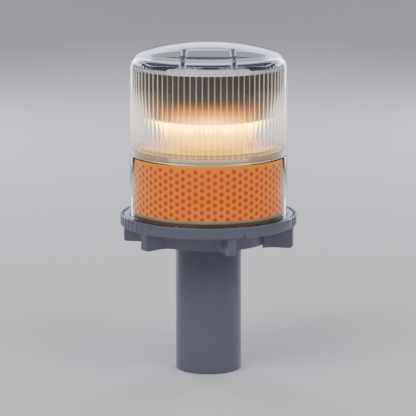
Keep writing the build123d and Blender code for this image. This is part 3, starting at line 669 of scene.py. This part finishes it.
# %% Build the cover
def build_cover():
    """The whole bell as one closed grid: out up the wall, over the dome, back inside and down."""
    angle = np.arange(FLUTES * STEPS_PER_FLUTE) * TAU / (FLUTES * STEPS_PER_FLUTE)
    from_front = np.abs(angle % math.pi - math.pi / 2)
    seam = np.exp(-(((from_front - WINDOW) / STRIP_WIDTH) ** 2))
    cut = FLUTE_DEPTH * flute_wave(angle) * (1 - np.clip(seam * 1.6, 0, 1))
    window = 1 / (1 + np.exp((from_front - WINDOW) / WINDOW_EDGE))
    flute_high = shoulder_z + FLUTE_OVERRUN - WINDOW_DROP * window
    arch = FLUTE_ARCH * flute_wave(angle)
    upper_end = flute_high - 1.2 * MM + arch
    lower_end = flute_low + FLUTE_ARCH - arch
    rows = outside_rows() + inside_rows(cut, flute_high, upper_end, lower_end)
    grid = np.array([[value + 0 * angle for value in pair] for pair in rows])
    radius, height = grid[:, 0], grid[:, 1]
    piece = turned("cover_shell", np.maximum(radius, 0.02 * MM), height, angle[None, :])
    fluted = (height > flute_low) & (height <= flute_high) & (radius < crest + FLUTE_DEPTH + 0.1 * MM)
    thread = np.where(fluted, np.clip(1 - 1.5 * flute_wave(angle), 0, 1), 0)
    ends = np.isclose(height, upper_end) | np.isclose(height, lower_end)
    thread = np.where(ends, 0.2 + 0.9 * window, thread)
    for label, mask in (("thread", thread), ("fluted", fluted.astype(float))):
        mark = piece.data.attributes.new(label, "FLOAT", "POINT")
        mark.data.foreach_set("value", mask.ravel())
    piece.data.materials.append(fluted_plastic())
    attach(piece, "head")
    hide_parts("lens_cover")
    return piece


cover = build_cover()
print("cover faces:", len(cover.data.polygons))

# %% [markdown]
# ## The beaded amber band
# Inside the foot of the cover stands a ring of translucent amber plastic. Its face is covered with round
# beads in a honeycomb of seventy-six columns, each column half a step off its neighbours. The beads are
# real bumps, because at the band's sides they catch the light as little crescents. The height of the
# surface at a point depends only on its distance from the nearest bead's centre, so the whole band is one
# array expression. The same distance is kept as an attribute, which the finish reads to deepen the beads.

# %% Build the band
BEAD_COLUMNS = 76
BEAD_ROWS = 7
BEAD_PITCH = 4.35 * MM
BEAD_RADIUS = 1.45 * MM
BEAD_HEIGHT = 0.42 * MM
STEPS_PER_COLUMN = 12
BAND_TOP_MARGIN = 5.2 * MM
BAND_THICKNESS = 1.2 * MM
BAND_ROWS = 92


def bead_distance(angle, height, radius):
    """The distance of each point of the band from the nearest bead's centre.

    Even columns have a bead at each whole step down from the top, and odd columns at each half step.
    """
    column = angle * BEAD_COLUMNS / TAU
    width = TAU * radius / BEAD_COLUMNS
    best = np.full(np.broadcast(angle, height).shape, 1.0)
    for shift in (0, 1):
        nearest = 2 * np.round((column - shift) / 2) + shift
        across = (column - nearest) * width
        step = (band_high - BAND_TOP_MARGIN - height) / BEAD_PITCH + 0.5 * shift
        whole = np.clip(np.round(step), 0, BEAD_ROWS + shift - 1)
        along = (step - whole) * BEAD_PITCH
        best = np.minimum(best, np.hypot(across, along))
    return best


def build_band():
    """A beaded outer face, rounded rims and a plain inner face, as one closed grid."""
    columns = BEAD_COLUMNS * STEPS_PER_COLUMN
    angle = (np.arange(columns) * TAU / columns)[None, :]
    face = band_radius - BEAD_HEIGHT - 0.05 * MM
    inside = face - BAND_THICKNESS
    height = np.linspace(band_low + 0.4 * MM, band_high - 0.4 * MM, BAND_ROWS)[:, None]
    distance = bead_distance(angle, height, face)
    dome = np.sqrt(np.clip(1 - (distance / BEAD_RADIUS) ** 2, 0, 1))
    outer = face + BEAD_HEIGHT * dome
    rim = np.array([(face - 0.2 * MM, band_high), (inside, band_high), (inside, band_low)])
    rim = np.vstack([rim, (face - 0.2 * MM, band_low)])
    plain = np.zeros((len(rim), columns))
    radius = np.vstack([outer, rim[:, :1] + plain])
    height = np.vstack([height + 0 * angle, rim[:, 1:] + plain])
    bead = np.vstack([np.clip((BEAD_RADIUS - distance) / (0.3 * MM), 0, 1), plain])
    piece = turned("beaded_band", radius, height, angle)
    mark = piece.data.attributes.new("bead", "FLOAT", "POINT")
    mark.data.foreach_set("value", bead.ravel())
    return piece


print("beads:", BEAD_COLUMNS // 2 * (2 * BEAD_ROWS + 1))

# %% [markdown]
# ### Amber plastic
# The ring is tinted right through and lit from behind. That light is painted on: one colour feeds both
# its base colour and its emission, so the ring glows though it is no lamp. The beads are deeper red, as
# their attribute says. Layer Weight turns the plain amber slightly yellower where it is seen edge-on; a
# baked copy of the model will keep one amber only.

# %% Finish and place the band
def amber_plastic():
    """Amber between the beads, red-orange in them, with the lamp's light painted in as emission."""
    finish, shader = new_finish(
        "amber_plastic", Roughness=0.35, Specular_IOR_Level=0.1, Emission_Strength=0.9
    )
    tree = finish.node_tree
    bead = add_node(tree, "Attribute", attribute_name="bead").outputs["Fac"]
    facing = add_node(tree, "LayerWeight", {"Blend": 0.35}).outputs["Facing"]
    amber = mix_colours(tree, facing, (0.5, 0.125, 0.0, 1), (0.55, 0.24, 0.0, 1))
    colour = mix_colours(tree, bead, amber, (0.42, 0.01, 0.0, 1))
    link(finish, colour, shader.inputs["Base Color"])
    # painted light: the amber colour again as emission, for the lamp's light shining through the band
    link(finish, colour, shader.inputs["Emission Color"])
    return finish


band = build_band()
band.data.materials.append(amber_plastic())
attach(band, "head")
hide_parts("reflector_band")
print("band faces:", len(band.data.polygons))

# %% [markdown]
# ## The optics inside
# A wide cone under the solar panel throws the LEDs' light out sideways, and a clear vase-shaped ring
# stands on the deck round the LEDs. Both are plain turned pieces, so their outlines are a few corners.

# %% Build the cone and the vase
TURNED_SEGMENTS = 200
OPTICS_BORE = 10 * MM


def build_cone():
    """The silvered cone with its upright skirt: wide at the tray, narrow over the vase."""
    foot = low("cone_reflector")
    top = high("cone_reflector")
    wide = reach("cone_reflector")
    narrow = 34.3 * MM
    skirt = top - 10.4 * MM
    wall = 1.6 * MM
    outline = [
        (OPTICS_BORE, foot),
        (narrow, foot),
        (wide, skirt),
        (wide, top),
        (wide - wall, top),
        (wide - wall, skirt + 0.8 * MM),
        (narrow - wall, foot + wall),
        (OPTICS_BORE, foot + wall),
    ]
    piece = turned_outline("silvered_cone", outline, 0.35 * MM, TURNED_SEGMENTS)
    piece.data.materials.append(finishes["silvered_plastic"])
    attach(piece, "head")
    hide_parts("cone_reflector")
    return piece


def build_vase():
    """The vase: a foot plate, a hollow sweep in to the waist, and a flare up to the rim."""
    foot = low("inner_diffuser")
    top = high("inner_diffuser")
    plate = foot + 1.6 * MM
    waist = foot + 7.5 * MM
    wall = 1.7 * MM
    t = np.linspace(0, 1, 12)[:, None]
    foot_radius = 41 * MM
    neck = 27 * MM
    rim = 33.6 * MM
    start = np.array((34 * MM, plate))
    end = np.array((neck, waist))
    hollow = np.array((27.4 * MM, plate + 0.6 * MM))
    sweep = (1 - t) ** 2 * start + 2 * t * (1 - t) * hollow + t**2 * end
    outline = [(foot_radius, foot), (foot_radius, plate), *sweep, (rim, top), (rim - wall, top)]
    outline += [(neck - wall, waist), (neck - wall, foot)]
    piece = turned_outline("vase_lens", outline, 0.3 * MM, TURNED_SEGMENTS)
    piece.data.materials.append(finishes["frosted_plastic"])
    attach(piece, "head")
    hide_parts("inner_diffuser")
    return piece


for optic in (build_cone(), build_vase()):
    print(optic.name, "faces:", len(optic.data.polygons))

# %% [markdown]
# ## The panel's printed frame
# The solar panel is a long octagon under the dome, with a pale double line printed round its edge. Print
# has next to no thickness, so the lines are flat bands a twentieth of a millimetre above the laminate.

# %% Build the frame lines
PRINT_LIFT = 0.05 * MM
LINES = ((0.3 * MM, 1.1 * MM), (1.5 * MM, 1.8 * MM))
CORNER_CUT_X = 5 * MM
CORNER_CUT_Y = 17 * MM


def octagon(half_x, half_y, clip_x, clip_y):
    """The eight corners of a rectangle whose corners are cut off."""
    corner = np.array([(half_x, half_y - clip_y), (half_x - clip_x, half_y)])
    signs = np.array([(1, 1), (-1, 1), (-1, -1), (1, -1)])
    corners = corner[None] * signs[:, None]
    corners[1::2] = corners[1::2, ::-1]
    return corners.reshape(-1, 2)


def build_frame_lines():
    """Two pale bands round the octagon: a broad one at the edge and a narrow one inside it."""
    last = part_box("solar_panel")[1]
    height = last.z + PRINT_LIFT
    points = []
    faces = []
    for outside, inside in LINES:
        start = len(points) * 8
        for inset in (outside, inside):
            cut_x = CORNER_CUT_X - 0.2 * inset
            cut_y = CORNER_CUT_Y - 0.5 * inset
            points.append(octagon(last.x - inset, last.y - inset, cut_x, cut_y))
        index = np.arange(8)
        after = (index + 1) % 8
        faces.append(start + np.stack([index, after, after + 8, index + 8], -1))
    flat = np.concatenate(points)
    flat = np.hstack([flat, np.full((len(flat), 1), height)])
    mesh = bpy.data.meshes.new("panel_frame_lines")
    mesh.from_pydata(flat.tolist(), [], np.concatenate(faces).tolist())
    mesh.materials.append(finishes["white_print"])
    piece = bpy.data.objects.new("panel_frame_lines", mesh)
    bpy.context.scene.collection.objects.link(piece)
    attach(piece, "head")
    return piece


print("frame line faces:", len(build_frame_lines().data.polygons))

# %% [markdown]
# ## The grey base
# The base is where the CAD shape is exactly right and only its edges are wrong: a moulded edge is never
# knife-sharp, and the light line along a rounded edge is what tells the eye how big a thing is. So the
# piece is a copy of the CAD mesh, with its loose triangles merged, and a Bevel modifier rounds every edge
# that turns by more than forty degrees.

# %% Round the CAD's edges
WELD_DISTANCE = 0.002 * MM
BEVEL_ANGLE = math.radians(40)


def rounded_copy(name, node, width, body):
    """A copy of a CAD node, welded, with rounded edges, that stands for it."""
    mesh = nodes[node].data.copy()
    mesh.name = name
    weld = bmesh.new()
    weld.from_mesh(mesh)
    bmesh.ops.remove_doubles(weld, verts=weld.verts, dist=WELD_DISTANCE)
    weld.to_mesh(mesh)
    weld.free()
    mesh.polygons.foreach_set("use_smooth", [True] * len(mesh.polygons))
    piece = bpy.data.objects.new(name, mesh)
    bpy.context.scene.collection.objects.link(piece)
    bevel = piece.modifiers.new("rounded_edges", "BEVEL")
    bevel.width = width
    bevel.segments = 2
    bevel.limit_method = "ANGLE"
    bevel.angle_limit = BEVEL_ANGLE
    bevel.harden_normals = True
    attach(piece, body)
    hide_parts(node)
    return piece


base = rounded_copy("moulded_base", "base_housing", 0.28 * MM, "base")
tube = rounded_copy("spigot_tube", "stem_tube", 0.25 * MM, "base")
print("faces before rounding:", len(base.data.polygons), len(tube.data.polygons))

# %% [markdown]
# ## Studio
# A pale floor sweeps up into a backdrop, so no horizon cuts the picture behind the clear cover. It is one
# strip carried along a line of three parts: flat, a quarter circle and upright.

# %% The floor and backdrop
def build_sweep():
    """A floor that curves up behind: flat, then a quarter circle, then upright."""
    bend = np.linspace(0, math.pi / 2, 16)
    curve = np.stack([1.2 + 0.8 * np.sin(bend), 0.8 - 0.8 * np.cos(bend)], -1)
    line = np.vstack([(-4.0, 0.0), curve, (2.0, 4.0)])
    side = np.array([-5.0, 5.0])
    x, y = np.meshgrid(side, line[:, 0])
    z = np.repeat(line[:, 1:], 2, 1)
    points = np.stack([x, y, z], -1)
    first = np.arange(len(line) - 1) * 2
    faces = np.stack([first, first + 1, first + 3, first + 2], -1)
    mesh = bpy.data.meshes.new("studio_floor")
    mesh.from_pydata(points.reshape(-1, 3).tolist(), [], faces.tolist())
    mesh.polygons.foreach_set("use_smooth", [True] * len(mesh.polygons))
    floor = bpy.data.objects.new("studio_floor", mesh)
    bpy.context.scene.collection.objects.link(floor)
    finish, shader = new_finish("pale_paper", Base_Color=(0.75, 0.75, 0.76, 1), Roughness=0.8)
    mesh.materials.append(finish)

    return floor


print("backdrop faces:", len(build_sweep().data.polygons))

# %% [markdown]
# ## Lights and camera
# A large soft light stands at the front left and a weaker one at the front right. Behind are two tall
# narrow ones, which draw the cover's edges, and a wide low one, which the flutes bend. The camera is a
# long lens, above the lamp and tilted a little down.

# %% Lights
def soft_light(name, place, size, watts, colour=(1, 1, 1)):
    """A rectangular area light that looks at the middle of the lamp."""
    lamp = bpy.data.lights.new(name, "AREA")
    lamp.shape = "RECTANGLE"
    lamp.size, lamp.size_y = size
    lamp.energy = watts
    lamp.color = colour
    holder = bpy.data.objects.new(name, lamp)
    holder.location = place
    aim = Vector((0, 0, 0.11)) - Vector(place)
    holder.rotation_euler = aim.to_track_quat("-Z", "Y").to_euler()
    bpy.context.scene.collection.objects.link(holder)


soft_light("key_light", (-0.8, -1.0, 1.5), (1.0, 1.0), 16.0)
soft_light("fill_light", (0.9, -0.9, 1.4), (1.0, 1.0), 10.0)
soft_light("left_rim", (-0.6, 1.05, 0.45), (0.25, 1.0), 5.0, (0.9, 0.92, 1.0))
soft_light("right_rim", (0.6, 1.05, 0.45), (0.25, 1.0), 5.0, (0.9, 0.92, 1.0))
soft_light("back_light", (0.0, 1.3, 0.5), (1.9, 0.35), 4.0, (0.72, 0.74, 1.0))

world = bpy.data.worlds.new("studio")
world.use_nodes = True
sky = world.node_tree.nodes["Background"].inputs
sky["Color"].default_value = (0.9, 0.92, 1.0, 1)
sky["Strength"].default_value = 0.25
bpy.context.scene.world = world
print("lights:", sorted(lamp.name for lamp in bpy.data.lights))

# %% Camera
CAMERA_TILT = math.radians(10.6)

lens = bpy.data.cameras.new("camera")
lens.lens = 200.2
lens.sensor_width = 36
lens.clip_end = 50
camera = bpy.data.objects.new("camera", lens)
camera.location = (-0.0003, -1.384, 0.3583)
camera.rotation_euler = (math.pi / 2 - CAMERA_TILT, 0, 0)
bpy.context.scene.collection.objects.link(camera)
bpy.context.scene.camera = camera
print("camera at", tuple(round(v, 3) for v in camera.location))
